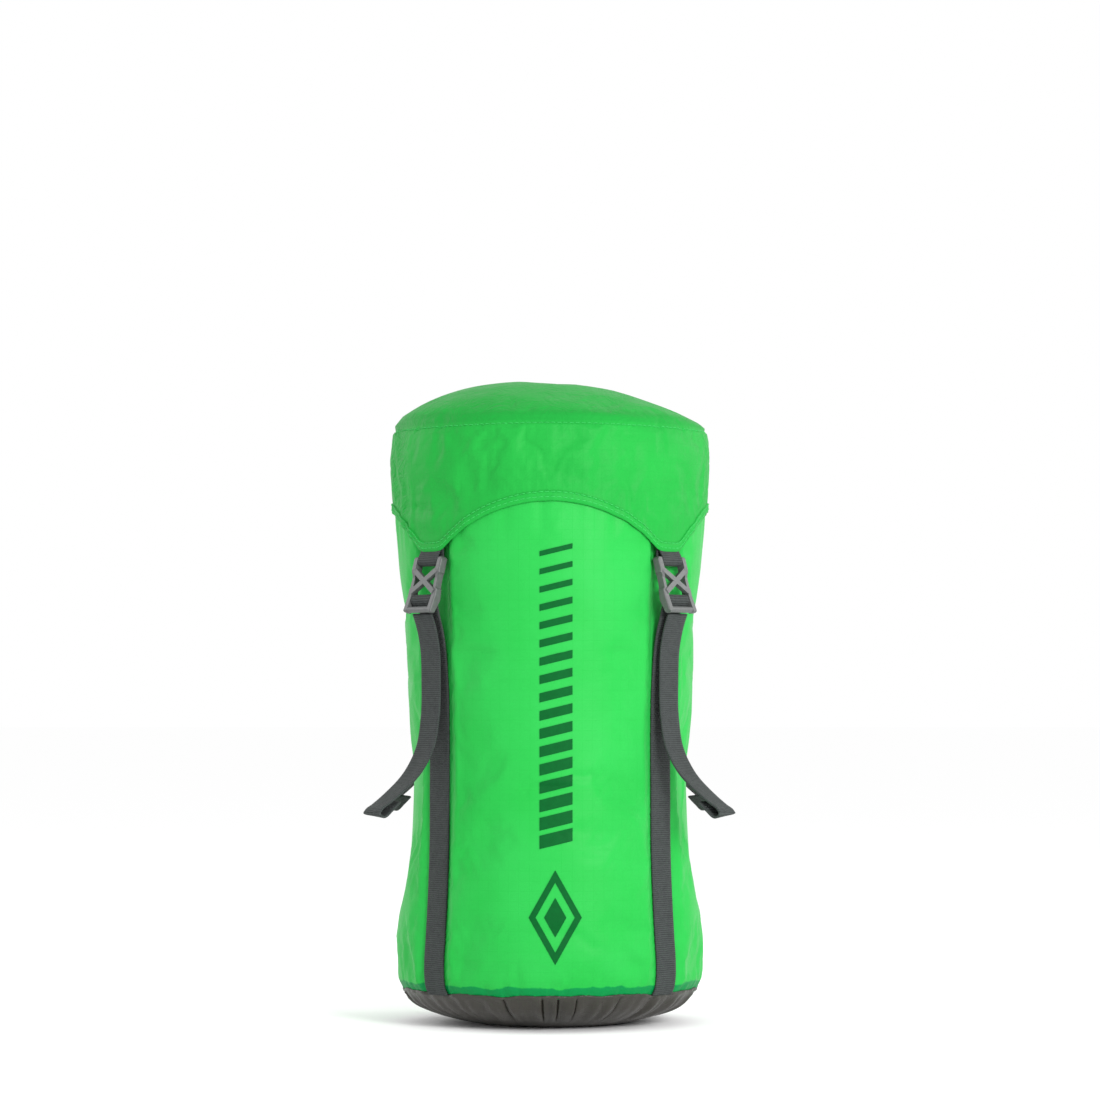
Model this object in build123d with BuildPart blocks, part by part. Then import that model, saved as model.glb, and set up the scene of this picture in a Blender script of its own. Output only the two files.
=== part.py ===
"""Compression stuff sack: a five-litre fabric sack with a drawcord throat, under a floating cap
that four webbing straps and ladder-lock buckles pull down.

Frame: +Z up, the front faces -Y, and the origin is the centre of the flat that the sack stands on.
All sizes are in millimetres. The sack is built in its stuffed shape and is hollow.
"""

from build123d import *
import os
from math import cos, radians, sin

os.makedirs("parts", exist_ok=True)

# Driving dimensions
HEIGHT = 332.0  # from the standing face to the top of the cap
FABRIC = 0.6  # wall of every fabric panel
BINDING = 0.5  # wall of seam bindings and felled seams
SEWN_GAP = 0.1  # between two layers that are sewn together
SEAM_GAP = 0.3  # between two panels that move apart
WEBBING_W = 15.0
WEBBING_T = 1.0
STRAP_ANGLE = 48.7  # of each strap from the front or the rear

# Body tube: outer radius at each height
BODY_OUTLINE = [
    (74.4, 17.0),
    (77.3, 34.0),
    (74.6, 66.0),
    (71.3, 124.0),
    (72.6, 195.0),
    (76.0, 244.0),
    (77.0, 266.0),
    (76.6, 286.0),
]
BASE_Z = 17.0  # height of the seam between base and tube
THROAT_Z = 286.0  # height of the seam between tube and collar
BASE_FLAT_R = 31.0
BASE_OUTLINE = [(74.4, 16.6), (71.4, 13.0), (63.4, 7.8), (48.4, 2.4), (BASE_FLAT_R, 0.0)]

# Throat
COLLAR_OUTLINE = [
    (24.4, 303.0),
    (42.0, 301.2),
    (60.0, 299.0),
    (72.3, 294.4),
    (76.6, THROAT_Z + SEAM_GAP),
]
CHANNEL_R = 21.5  # radius of the gathered mouth, to the middle of the drawcord channel
CHANNEL_Z = 307.3
CHANNEL_W = 5.0
CHANNEL_H = 8.0
EYELET_BORE_R = 1.8
EYELET_BARREL_R = 2.15
EYELET_FLANGE_R = 3.3
EYELET_WALL = 0.5

# Cap
CROWN_OUTLINE = [
    (0.0, HEIGHT),
    (22.0, 331.2),
    (40.0, 328.0),
    (62.0, 320.8),
    (75.0, 312.9),
    (81.0, 305.4),
]
SKIRT_OUTLINE = [
    (81.0, 305.2),
    (82.5, 297.0),
    (82.3, 284.0),
    (81.6, 271.0),
    (81.4, 257.0),
    (81.3, 241.6),
]
TAB_Z = 241.6  # height of the skirt's four points
FRONT_ARCH = 24.5  # rise of the skirt's edge between the two front points, and the two rear ones
SIDE_ARCH = 22.6  # rise of the skirt's edge at each side
POINT_W = 16.6  # width of the skirt at each point
EDGE_BINDING_W = 4.5
SEAM_BINDING_LOW = 298.6  # the crown seam's allowance, folded down inside the skirt
SEAM_BINDING_HIGH = 304.0

# Buckle, in its own frame: u across, v up the buckle from the top bar's axis, n out of its face
TOP_BAR_RADIUS_FROM_AXIS = 80.3  # how far the top bar's axis is from the sack's axis
TOP_BAR_Z = 236.6
BUCKLE_TILT = 13.0
RAIL_INNER = 7.9
RAIL_OUTER = 10.9
RAIL_WAIST = 9.9  # half the buckle's width where its rails are waisted
RAIL_SIDE_VIEW = [
    (-1.9, 2.0),
    (2.3, 2.0),
    (2.8, -5.0),
    (1.9, -9.0),
    (2.4, -18.6),
    (3.9, -27.3),
    (0.4, -27.6),
    (-2.1, -20.5),
    (-1.5, -12.0),
]
RAIL_ROUNDING = 1.2
RAIL_EDGE_ROUNDING = 0.7
CORNER_ROUNDING = 2.6  # of the buckle's outline seen from the front
OUTLINE_TOP_V = 2.4
OUTLINE_FOOT_V = -27.7
TOP_BAR_R = 1.5
MIDDLE_BAR_R = 1.3
MIDDLE_BAR_V = -20.0
LIFT_BAR_R = 1.6
LIFT_BAR_N = 2.0
LIFT_BAR_V = -25.8
CROSS_TOP_V = -5.0
CROSS_FOOT_V = -16.6
CROSS_W = 2.7
CROSS_BACK_N = 0.2
CROSS_FRONT_N = 2.7
CROSS_REACH = 8.9  # how far the X's arms run from the middle
BARS = [(0, 0, TOP_BAR_R), (0, MIDDLE_BAR_V, MIDDLE_BAR_R), (LIFT_BAR_N, LIFT_BAR_V, LIFT_BAR_R)]
WAIST_TOP_V = -6.4
WAIST_FOOT_V = -15.2

# Strap and free end, as (distance from the sack's axis, height)
# heights where the strap still lies on the sack's bulge
STRAP_FOOT_HEIGHTS = (18.0, 22.0, 27.0, 34.0, 44.0, 54.0, 66.0)
STRAP_ROUTE = [
    (74.6, 100.0),
    (74.5, 150.0),
    (75.7, 180.0),
    (78.6, 200.1),
    (82.6, 214.7),
]
STRAP_BEND = 20.0
TAIL_ROUTE = [
    (85.9, 209.7),
    (81.6, 195.5),
    (80.0, 176.0),
    (80.2, 157.0),
    (83.2, 141.0),
    (90.6, 129.8),
    (103.4, 119.2),
    (116.6, 110.6),
]
TAIL_FOLD = [(115.2, 108.6), (107.8, 112.2), (101.6, 117.8)]
TAIL_BENDS = [40, 60, 60, 30, 25, 40, 1.1, 1.1, 6]
WRAP_BENDS = [1.9, 1.9, 1.2, 1.2]
TAB_SEWN_LENGTH = 7.5  # of the tab inside the skirt's point
TAB_BENDS = [2.5, 2.5, 0.9, 0.9]

CORNERS = {
    "front_left": -90.0 - STRAP_ANGLE,
    "front_right": -90.0 + STRAP_ANGLE,
    "rear_left": 90.0 + STRAP_ANGLE,
    "rear_right": 90.0 - STRAP_ANGLE,
}


def save(part, label):
    """Labels a finished piece and writes it."""
    part.label = label
    export_step(part, f"parts/{label}.step")


def radial_plane(angle):
    """A plane through the sack's axis: its x is the distance from the axis, its y the height."""
    a = radians(angle)
    return Plane(origin=(0, 0, 0), x_dir=(cos(a), sin(a), 0), z_dir=(sin(a), -cos(a), 0))


def buckle_plane(angle, n=0.0):
    """The buckle's own plane at one corner, n millimetres out of its face."""
    a, t = radians(angle), radians(BUCKLE_TILT)
    outward = Vector(cos(a) * cos(t), sin(a) * cos(t), sin(t))
    bar = Vector(TOP_BAR_RADIUS_FROM_AXIS * cos(a), TOP_BAR_RADIUS_FROM_AXIS * sin(a), TOP_BAR_Z)
    return Plane(origin=bar + outward * n, x_dir=(-sin(a), cos(a), 0), z_dir=outward)


def on_buckle(n, v):
    """A point of the buckle's side view as (distance from the sack's axis, height)."""
    t = radians(BUCKLE_TILT)
    return (
        TOP_BAR_RADIUS_FROM_AXIS - v * sin(t) + n * cos(t),
        TOP_BAR_Z + v * cos(t) + n * sin(t),
    )


def curve_of(outline):
    """A smooth curve through an outline's points, outside any builder."""
    return Spline(*outline, mode=Mode.PRIVATE)


def radius_at(curve, z):
    """Where a rising or falling curve crosses the height z."""
    low, high = 0.0, 1.0
    rising = (curve @ 1).Y > (curve @ 0).Y
    for _ in range(40):
        middle = (low + high) / 2
        if ((curve @ middle).Y < z) == rising:
            low = middle
        else:
            high = middle
    return (curve @ low).X


def band(curve, z_low, z_high, depth, wall, steps=9):
    """The section of a band that lies depth inside a curve and is wall thick."""
    heights = [z_low + (z_high - z_low) * i / (steps - 1) for i in range(steps)]
    outer = [(radius_at(curve, z) - depth, z) for z in heights]
    inner = [(x - wall, z) for x, z in reversed(outer)]
    with BuildSketch() as section:
        with BuildLine():
            Spline(*outer)
            Line(outer[-1], inner[0])
            Spline(*inner)
            Line(inner[-1], outer[0])
        make_face()
    return section.sketch


def shell(outline, tangents, wall, steps=17):
    """The section of a fabric shell whose outer face follows an outline with the given end tangents."""
    with BuildSketch() as section:
        with BuildLine():
            curve = Spline(*outline, tangents=tangents)
            inner = []
            for i in range(steps):
                point, along = curve @ (i / (steps - 1)), curve % (i / (steps - 1))
                inner.append((point.X + along.Y * wall, point.Y - along.X * wall))
            Line(curve @ 1, inner[-1])
            Spline(*reversed(inner))
            Line(inner[0], curve @ 0)
        make_face()
    return section.sketch


def webbing_strip(angle, route, radii):
    """Webbing whose middle follows a route in one radial plane, straight runs joined by arcs."""
    with BuildPart() as strip:
        with BuildSketch(radial_plane(angle)):
            with BuildLine():
                FilletPolyline(*route, radius=radii)
            trace(line_width=WEBBING_T)
        extrude(amount=WEBBING_W / 2, both=True)
    return strip.part


body_curve = curve_of(BODY_OUTLINE)
skirt_curve = curve_of(SKIRT_OUTLINE)

# Sack: base panel, tube and their seams

with BuildPart() as base_panel:
    with BuildSketch(Plane.XZ):
        add(shell(BASE_OUTLINE, ((-0.35, -1), (-1, 0)), FABRIC))
        with Locations((BASE_FLAT_R / 2, FABRIC / 2)):
            Rectangle(BASE_FLAT_R, FABRIC)
    revolve(axis=Axis.Z)
save(base_panel.part, "base_panel")

with BuildPart() as body_tube:
    with BuildSketch(Plane.XZ):
        add(band(body_curve, BASE_Z, THROAT_Z, 0, FABRIC, steps=15))
    revolve(axis=Axis.Z)
save(body_tube.part, "body_tube")

with BuildPart() as base_seam_binding:
    with BuildSketch(Plane.XZ):
        add(band(body_curve, BASE_Z + 0.5, BASE_Z + 6.0, FABRIC + SEWN_GAP, BINDING, steps=4))
    revolve(axis=Axis.Z)
save(base_seam_binding.part, "base_seam_binding")

BACK_SEAM_ARC = 8.0
with BuildPart() as back_seam:
    with BuildSketch(radial_plane(90 - BACK_SEAM_ARC / 2)):
        add(band(body_curve, BASE_Z + 7.0, THROAT_Z - 1.0, FABRIC + SEWN_GAP, BINDING, steps=15))
    revolve(axis=Axis.Z, revolution_arc=BACK_SEAM_ARC)
save(back_seam.part, "back_seam")

# Throat: gathered collar, drawcord channel and the eyelet that a drawcord leaves by

with BuildPart() as throat_collar:
    with BuildSketch(Plane.XZ):
        add(shell(COLLAR_OUTLINE, ((1, -0.12), (0.1, -1)), FABRIC))
    revolve(axis=Axis.Z)
save(throat_collar.part, "throat_collar")

inside_w, inside_h = CHANNEL_W - 2 * FABRIC, CHANNEL_H - 2 * FABRIC
with BuildPart() as drawcord_channel:
    with BuildSketch(Plane.XZ):
        with Locations((CHANNEL_R, CHANNEL_Z)):
            RectangleRounded(CHANNEL_W, CHANNEL_H, CHANNEL_W / 2 - 0.1)
            RectangleRounded(inside_w, inside_h, inside_w / 2 - 0.1, mode=Mode.SUBTRACT)
    revolve(axis=Axis.Z)
    with BuildSketch(Plane.XZ.offset(CHANNEL_R)):
        with Locations((0, CHANNEL_Z)):
            Circle(EYELET_BARREL_R + SEWN_GAP)
    extrude(amount=CHANNEL_W, mode=Mode.SUBTRACT)
save(drawcord_channel.part, "drawcord_channel")

channel_face = CHANNEL_R + CHANNEL_W / 2
with BuildPart() as drawcord_eyelet:
    with BuildSketch(Plane.XZ.offset(channel_face + SEAM_GAP)):
        with Locations((0, CHANNEL_Z)):
            Circle(EYELET_FLANGE_R)
    extrude(amount=EYELET_WALL)
    with BuildSketch(Plane.XZ.offset(channel_face - 2 * FABRIC)):
        with Locations((0, CHANNEL_Z)):
            Circle(EYELET_BARREL_R)
    extrude(amount=2 * FABRIC + SEAM_GAP)
    with BuildSketch(Plane.XZ.offset(channel_face - CHANNEL_W / 2)):
        with Locations((0, CHANNEL_Z)):
            Circle(EYELET_BORE_R)
    extrude(amount=CHANNEL_W, mode=Mode.SUBTRACT)
save(drawcord_eyelet.part, "drawcord_eyelet")

# Cap: crown, scalloped skirt and their bindings


def under_edge(rise):
    """Everything under the skirt's scalloped edge, after that edge is raised by rise."""
    front_half = skirt_r * sin(radians(STRAP_ANGLE)) - POINT_W / 2 * cos(radians(STRAP_ANGLE))
    side_half = skirt_r * cos(radians(STRAP_ANGLE)) - POINT_W / 2 * sin(radians(STRAP_ANGLE))
    foot, top = TAB_Z - 10, TAB_Z + rise
    with BuildPart() as under:
        with BuildSketch(Plane.XY.offset(foot)):
            Circle(2 * skirt_r)
        extrude(amount=top - foot)
        for plane, half, height in (
            (Plane.XZ, front_half, FRONT_ARCH),
            (Plane.YZ, side_half, SIDE_ARCH),
        ):
            with BuildSketch(plane):
                with BuildLine():
                    ThreePointArc((-half, top), (0, top + height), (half, top))
                    Polyline((half, top), (half, foot), (-half, foot), (-half, top))
                make_face()
            extrude(amount=2 * skirt_r, both=True)
    return under.part


skirt_r = radius_at(skirt_curve, TAB_Z + FRONT_ARCH)
with BuildPart() as cap_crown:
    with BuildSketch(Plane.XZ):
        add(shell(CROWN_OUTLINE, ((1, 0), (0.35, -1)), FABRIC))
    revolve(axis=Axis.Z)
save(cap_crown.part, "cap_crown")

with BuildPart() as cap_skirt:
    with BuildSketch(Plane.XZ):
        add(band(skirt_curve, TAB_Z, SKIRT_OUTLINE[0][1], 0, FABRIC))
    revolve(axis=Axis.Z)
    add(under_edge(0), mode=Mode.SUBTRACT)
save(cap_skirt.part, "cap_skirt")

with BuildPart() as cap_edge_binding:
    with BuildSketch(Plane.XZ):
        add(band(skirt_curve, TAB_Z, TAB_Z + FRONT_ARCH + EDGE_BINDING_W, -BINDING - 0.05, BINDING))
    revolve(axis=Axis.Z)
    add(under_edge(EDGE_BINDING_W), mode=Mode.INTERSECT)
    add(under_edge(0), mode=Mode.SUBTRACT)
save(cap_edge_binding.part, "cap_edge_binding")

with BuildPart() as cap_seam_binding:
    with BuildSketch(Plane.XZ):
        add(band(skirt_curve, SEAM_BINDING_LOW, SEAM_BINDING_HIGH, FABRIC + SEWN_GAP, BINDING, steps=4))
    revolve(axis=Axis.Z)
save(cap_seam_binding.part, "cap_seam_binding")


# At each corner: strap, tab, buckle, the strap's wrap round the buckle, and the strap's free end


def make_buckle(angle):
    """A ladder-lock buckle: two rails joined by a top bar, an X, a middle bar and a lift bar."""
    with BuildPart() as buckle:
        for side in (-1, 1):
            centre = side * (RAIL_INNER + RAIL_OUTER) / 2
            rail = radial_plane(angle).offset(-centre)
            with BuildSketch(rail):
                with BuildLine():
                    side_view = [on_buckle(n, v) for n, v in RAIL_SIDE_VIEW]
                    FilletPolyline(*side_view, radius=RAIL_ROUNDING, close=True)
                make_face()
            extrude(amount=(RAIL_OUTER - RAIL_INNER) / 2, both=True)
        across = Axis((0, 0, 0), buckle_plane(angle).x_dir)
        outsides = buckle.faces().filter_by(across).sort_by(across)
        fillet(outsides[0].edges() + outsides[-1].edges(), RAIL_EDGE_ROUNDING)
        for side in (-1, 1):
            with BuildSketch(buckle_plane(angle, -5)):
                with Locations((side * (RAIL_WAIST + 2), (WAIST_TOP_V + WAIST_FOOT_V) / 2)):
                    RectangleRounded(4, WAIST_TOP_V - WAIST_FOOT_V, 1.5)
            extrude(amount=10, mode=Mode.SUBTRACT)
        with BuildSketch(buckle_plane(angle, -6)):
            with Locations((0, (OUTLINE_TOP_V + OUTLINE_FOOT_V) / 2)):
                Rectangle(4 * RAIL_OUTER, 4 * RAIL_OUTER)
                RectangleRounded(
                    2 * RAIL_OUTER,
                    OUTLINE_TOP_V - OUTLINE_FOOT_V,
                    CORNER_ROUNDING,
                    mode=Mode.SUBTRACT,
                )
        extrude(amount=12, mode=Mode.SUBTRACT)
        for n, v, radius in BARS:
            with BuildSketch(radial_plane(angle)):
                with Locations(on_buckle(n, v)):
                    Circle(radius)
            extrude(amount=(RAIL_INNER + RAIL_OUTER) / 2, both=True)
        with BuildSketch(buckle_plane(angle, CROSS_BACK_N)):
            for side in (-1, 1):
                with BuildLine():
                    Line((-side * CROSS_REACH, CROSS_TOP_V), (side * CROSS_REACH, CROSS_FOOT_V))
                trace(line_width=CROSS_W)
        extrude(amount=CROSS_FRONT_N - CROSS_BACK_N)
    return buckle.part


def make_tab(angle):
    """A webbing loop that holds the buckle's top bar, its two ends sewn inside the skirt's point."""
    loop_r = TOP_BAR_R + SEWN_GAP
    bar = (TOP_BAR_RADIUS_FROM_AXIS, TOP_BAR_Z)
    back, front = bar[0] - loop_r - WEBBING_T, bar[0] + loop_r + WEBBING_T
    sewn_front, top = back + 2 * WEBBING_T + SEWN_GAP, TAB_Z + TAB_SEWN_LENGTH
    with BuildPart() as tab:
        with BuildSketch(radial_plane(angle)):
            with BuildLine():
                FilletPolyline(
                    (back, top),
                    (back, bar[1] - loop_r - WEBBING_T),
                    (front, bar[1] - loop_r - WEBBING_T),
                    (front, bar[1] + 1.4),
                    (sewn_front, TAB_Z + 0.2),
                    (sewn_front, top),
                    radius=TAB_BENDS,
                )
                Line((sewn_front, top), (back, top))
            make_face()
            with Locations(bar):
                Circle(loop_r, mode=Mode.SUBTRACT)
        extrude(amount=WEBBING_W / 2, both=True)
    return tab.part


strap_foot = [
    (radius_at(body_curve, z) + WEBBING_T / 2 + SEAM_GAP, z) for z in STRAP_FOOT_HEIGHTS
]
wrap_n = MIDDLE_BAR_R + WEBBING_T / 2 + 0.15
wrap_route = [
    on_buckle(-wrap_n, MIDDLE_BAR_V - 1.4),
    on_buckle(-wrap_n, MIDDLE_BAR_V + wrap_n),
    on_buckle(wrap_n, MIDDLE_BAR_V + wrap_n),
    on_buckle(wrap_n, MIDDLE_BAR_V - 1.2),
    on_buckle(-0.4, LIFT_BAR_V + 1.4),
    on_buckle(-0.4, LIFT_BAR_V - 0.4),
]
for corner, angle in CORNERS.items():
    save(webbing_strip(angle, strap_foot + STRAP_ROUTE, STRAP_BEND), f"strap_{corner}")
    save(make_tab(angle), f"tab_{corner}")
    save(make_buckle(angle), f"buckle_{corner}")
    save(webbing_strip(angle, wrap_route, WRAP_BENDS), f"strap_wrap_{corner}")
    save(webbing_strip(angle, TAIL_ROUTE + TAIL_FOLD, TAIL_BENDS), f"strap_tail_{corner}")
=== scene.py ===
"""The looks of a compression stuff sack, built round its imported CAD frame.

Everything is in metres in the row's frame: +Z up, the front faces -Y. An angle is measured round the
sack from the front, towards +X.
"""

import math

import bpy
import numpy as np
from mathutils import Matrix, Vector
from mathutils.bvhtree import BVHTree


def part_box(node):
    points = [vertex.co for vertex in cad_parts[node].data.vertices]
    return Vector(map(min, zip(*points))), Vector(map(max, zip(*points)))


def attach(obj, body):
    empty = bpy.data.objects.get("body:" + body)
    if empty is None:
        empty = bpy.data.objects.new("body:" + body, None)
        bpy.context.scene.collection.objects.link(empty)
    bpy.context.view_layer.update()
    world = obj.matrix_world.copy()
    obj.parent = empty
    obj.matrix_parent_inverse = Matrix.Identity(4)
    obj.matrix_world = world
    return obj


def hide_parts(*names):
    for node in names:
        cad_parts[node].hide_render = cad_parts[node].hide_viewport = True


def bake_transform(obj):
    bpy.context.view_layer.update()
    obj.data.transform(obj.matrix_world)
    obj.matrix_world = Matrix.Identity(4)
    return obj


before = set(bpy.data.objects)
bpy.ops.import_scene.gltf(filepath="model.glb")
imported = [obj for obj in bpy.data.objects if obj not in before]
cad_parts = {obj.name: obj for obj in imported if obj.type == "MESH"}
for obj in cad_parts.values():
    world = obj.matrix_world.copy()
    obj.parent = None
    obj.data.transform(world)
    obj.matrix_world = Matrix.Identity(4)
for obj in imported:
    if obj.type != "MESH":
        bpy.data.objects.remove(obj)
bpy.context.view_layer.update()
MM = 0.001
TURN = 2 * math.pi

# Heights and radii read from the frame
BASE_SEAM_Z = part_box("body_tube")[0].z
THROAT_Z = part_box("body_tube")[1].z
POINT_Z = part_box("cap_skirt")[0].z
CROWN_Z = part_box("cap_crown")[0].z
MOUTH_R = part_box("drawcord_channel")[1].x
CHANNEL_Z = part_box("drawcord_channel")[0].z
CHANNEL_TOP_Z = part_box("drawcord_channel")[1].z

# Heights between which the webbing and the tube stretch from one body to the next
STRAP_JOIN_Z = 0.150
STRAP_NECK_Z = 0.196

STRAP_ANGLE = math.radians(48.7)
WEBBING_W = 15 * MM
WEBBING_T = 1.1 * MM
FABRIC_T = 0.35 * MM
CORNERS = {
    "front_left": -STRAP_ANGLE,
    "front_right": STRAP_ANGLE,
    "rear_left": STRAP_ANGLE - math.pi,
    "rear_right": math.pi - STRAP_ANGLE,
}

CROWN_EDGE = 81.0  # the crown's radius in millimetres, where it meets the skirt
BASE_EDGE = 74.6  # the base panel's radius in millimetres, at its seam

# Side views, in millimetres: (height, radius at the sack's side) of the stuffed tube and the cap's skirt
TUBE_SIDE = [(17, 75), (23, 78), (34, 79.2), (54, 77.1), (75, 74.4), (96, 72.9), (124, 71.9)]
TUBE_SIDE += [(168, 72.4), (209, 74.6), (240, 77.4), (262, 79.0), (276, 79.0), (286.1, 77.6)]
SKIRT_SIDE = [(241.6, 80.9), (257, 81.2), (271, 81.9), (284, 82.8), (294, 83.1), (301, 82.3)]
SKIRT_SIDE += [(305.4, CROWN_EDGE)]
# (distance from the axis, height) of the crown, and of the base panel
CROWN_SIDE = [(0, 330.0), (22, 329.2), (39, 325.9), (58, 319.8), (70, 314.9), (77, 310.2)]
CROWN_SIDE += [(CROWN_EDGE, 305.4)]
BASE_SIDE = [(0, 0), (26, 0), (32, 0.1), (40, 1.0), (50, 3.1), (62, 7.3), (70.5, 12.2)]
BASE_SIDE += [(BASE_EDGE, 16.6)]
# (distance from the sack's axis, height) along the webbing
STRAP_ROUTE = [(75.1, 17.5), (76.9, 21), (77.8, 26), (77.9, 34), (77.0, 46), (75.9, 62), (74.6, 90)]
STRAP_ROUTE += [(74.4, 120), (74.4, 150), (75.3, 178), (78.2, 200), (81.2, 210.5), (82.4, 215.3)]
TAIL_ROUTE = [(85.9, 209.8), (83.6, 204), (81.0, 194), (79.9, 176), (80.3, 157), (83.4, 142)]
TAIL_ROUTE += [(90.6, 130.4), (103.4, 119.4), (111, 114.3), (116, 111.2), (117, 109.6)]
TAIL_ROUTE += [(115.6, 108.7), (109.6, 112.0), (105, 115.6)]
# (height, distance from the axis) of the inner face of a strap that the lifted cap has drawn up
LIFTED_STRAP = [(178, 74.7), (222, 75.3), (253, 75.7), (266, 75.8), (286, 75.8)]


# Curves


def spline(points, x):
    """A smooth curve through (x, y) points, as y at x. Both are arrays of plain numbers."""
    xs, ys = np.array(points, float).T
    slope = np.gradient(ys, xs)
    i = np.clip(np.searchsorted(xs, x) - 1, 0, len(xs) - 2)
    h = xs[i + 1] - xs[i]
    t = np.clip((x - xs[i]) / h, 0, 1)
    a, b = ys[i], ys[i + 1]
    return (
        a * (1 + 2 * t) * (1 - t) ** 2
        + slope[i] * h * t * (1 - t) ** 2
        + b * t * t * (3 - 2 * t)
        - slope[i + 1] * h * t * t * (1 - t)
    )


def route(points, step=1.0):
    """Points every step millimetres along a smooth line through (r, z) points, in metres."""
    pts = np.array(points, float)
    along = np.concatenate([[0], np.cumsum(np.linalg.norm(np.diff(pts, axis=0), axis=1))])
    fine = np.linspace(0, along[-1], int(along[-1] / step) + 1)
    r = spline(list(zip(along, pts[:, 0])), fine)
    z = spline(list(zip(along, pts[:, 1])), fine)
    return np.stack([r, z], axis=1) * MM


def smooth(t):
    t = np.clip(t, 0, 1)
    return t * t * (3 - 2 * t)


def place(radius, angle, z):
    """Points at a distance from the sack's axis, an angle from its front, and a height."""
    return np.stack(np.broadcast_arrays(radius * np.sin(angle), -radius * np.cos(angle), z), axis=-1)


# Meshes


def new_mesh(name, points, faces, uv=None):
    """A mesh object. uv holds one pair of metres per face corner, for the weave."""
    mesh = bpy.data.meshes.new(name)
    mesh.from_pydata([tuple(p) for p in points], [], [tuple(f) for f in faces])
    if uv is not None:
        layer = mesh.uv_layers.new(name="weave")
        layer.data.foreach_set("uv", np.asarray(uv, np.float32).ravel())
    mesh.polygons.foreach_set("use_smooth", [True] * len(mesh.polygons))
    mesh.update()
    obj = bpy.data.objects.new(name, mesh)
    bpy.context.scene.collection.objects.link(obj)
    return obj


def grid_faces(rows, cols, closed):
    """Quads of a grid whose rows are rings if closed, with their outside to the right of rising rows."""
    faces = []
    for i in range(rows - 1):
        for j in range(cols if closed else cols - 1):
            k = (j + 1) % cols
            faces.append((i * cols + j, i * cols + k, (i + 1) * cols + k, (i + 1) * cols + j))
    return faces


def grid_uv(across, along, closed):
    """The weave's coordinates for grid_faces: across per column and along per row, in metres."""
    cols = len(across) - 1 if closed else len(across)
    uv = []
    for i in range(len(along) - 1):
        for j in range(cols if closed else cols - 1):
            low, high = along[i], along[i + 1]
            left, right = across[j], across[j + 1]
            uv += [(left, low), (right, low), (right, high), (left, high)]
    return uv


def apply_modifiers(obj):
    graph = bpy.context.evaluated_depsgraph_get()
    mesh = bpy.data.meshes.new_from_object(obj.evaluated_get(graph))
    obj.modifiers.clear()
    obj.data = mesh
    return obj


def thicken(obj, thickness, offset=-1.0):
    solid = obj.modifiers.new("thickness", "SOLIDIFY")
    solid.thickness = thickness
    solid.offset = offset
    solid.use_even_offset = False
    return apply_modifiers(obj)


# Materials


class Nodes:
    """Builds one material's node tree."""

    def __init__(self, name, colour, roughness):
        self.material = bpy.data.materials.new(name)
        self.material.use_nodes = True
        self.tree = self.material.node_tree
        self.shader = self.tree.nodes["Principled BSDF"]
        self.shader.inputs["Base Color"].default_value = (*colour, 1)
        self.shader.inputs["Roughness"].default_value = roughness

    def add(self, kind, inputs=None, **settings):
        node = self.tree.nodes.new("ShaderNode" + kind)
        for key, value in settings.items():
            setattr(node, key, value)
        for key, value in (inputs or {}).items():
            if isinstance(value, bpy.types.NodeSocket):
                self.tree.links.new(value, node.inputs[key])
            else:
                node.inputs[key].default_value = value
        return node

    def link(self, socket, name):
        self.tree.links.new(socket, self.shader.inputs[name])

    def math(self, operation, a, b=0.0, clamp=False):
        return self.add("Math", {0: a, 1: b}, operation=operation, use_clamp=clamp).outputs[0]

    def remap(self, value, low, high):
        """0 to 1 mapped to low to high."""
        return self.add("MapRange", {"Value": value, "To Min": low, "To Max": high}).outputs["Result"]

    def mix(self, factor, a, b):
        """The colour a where the factor is 0, and b where it is 1."""
        return self.add("Mix", {0: factor, 6: a, 7: b}, data_type="RGBA").outputs[2]

    def weave_axes(self):
        """The weave's two coordinates, in metres across and along the cloth."""
        uv = self.add("UVMap", uv_map="weave").outputs[0]
        split = self.add("SeparateXYZ", {0: uv})
        return split.outputs[0], split.outputs[1]

    def stripes(self, coordinate, pitch, sharpness=1.0):
        """0 to 1 threads of a pitch in metres along one coordinate."""
        turn = self.math("MULTIPLY", coordinate, TURN / pitch)
        wave = self.add("Math", {0: self.math("SINE", turn), 1: 0.5, 2: 0.5}, operation="MULTIPLY_ADD")
        return self.math("POWER", wave.outputs[0], sharpness)

    def noise(self, scale, detail=2.0, distortion=0.0):
        inputs = {"Scale": scale, "Detail": detail, "Distortion": distortion}
        inputs["Vector"] = self.add("TexCoord").outputs["Object"]
        return self.add("TexNoise", inputs).outputs["Fac"]

    def bump(self, height, distance, strength=1.0, over=None):
        inputs = {"Height": height, "Distance": distance, "Strength": strength}
        if over is not None:
            inputs["Normal"] = over
        return self.add("Bump", inputs).outputs["Normal"]


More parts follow.
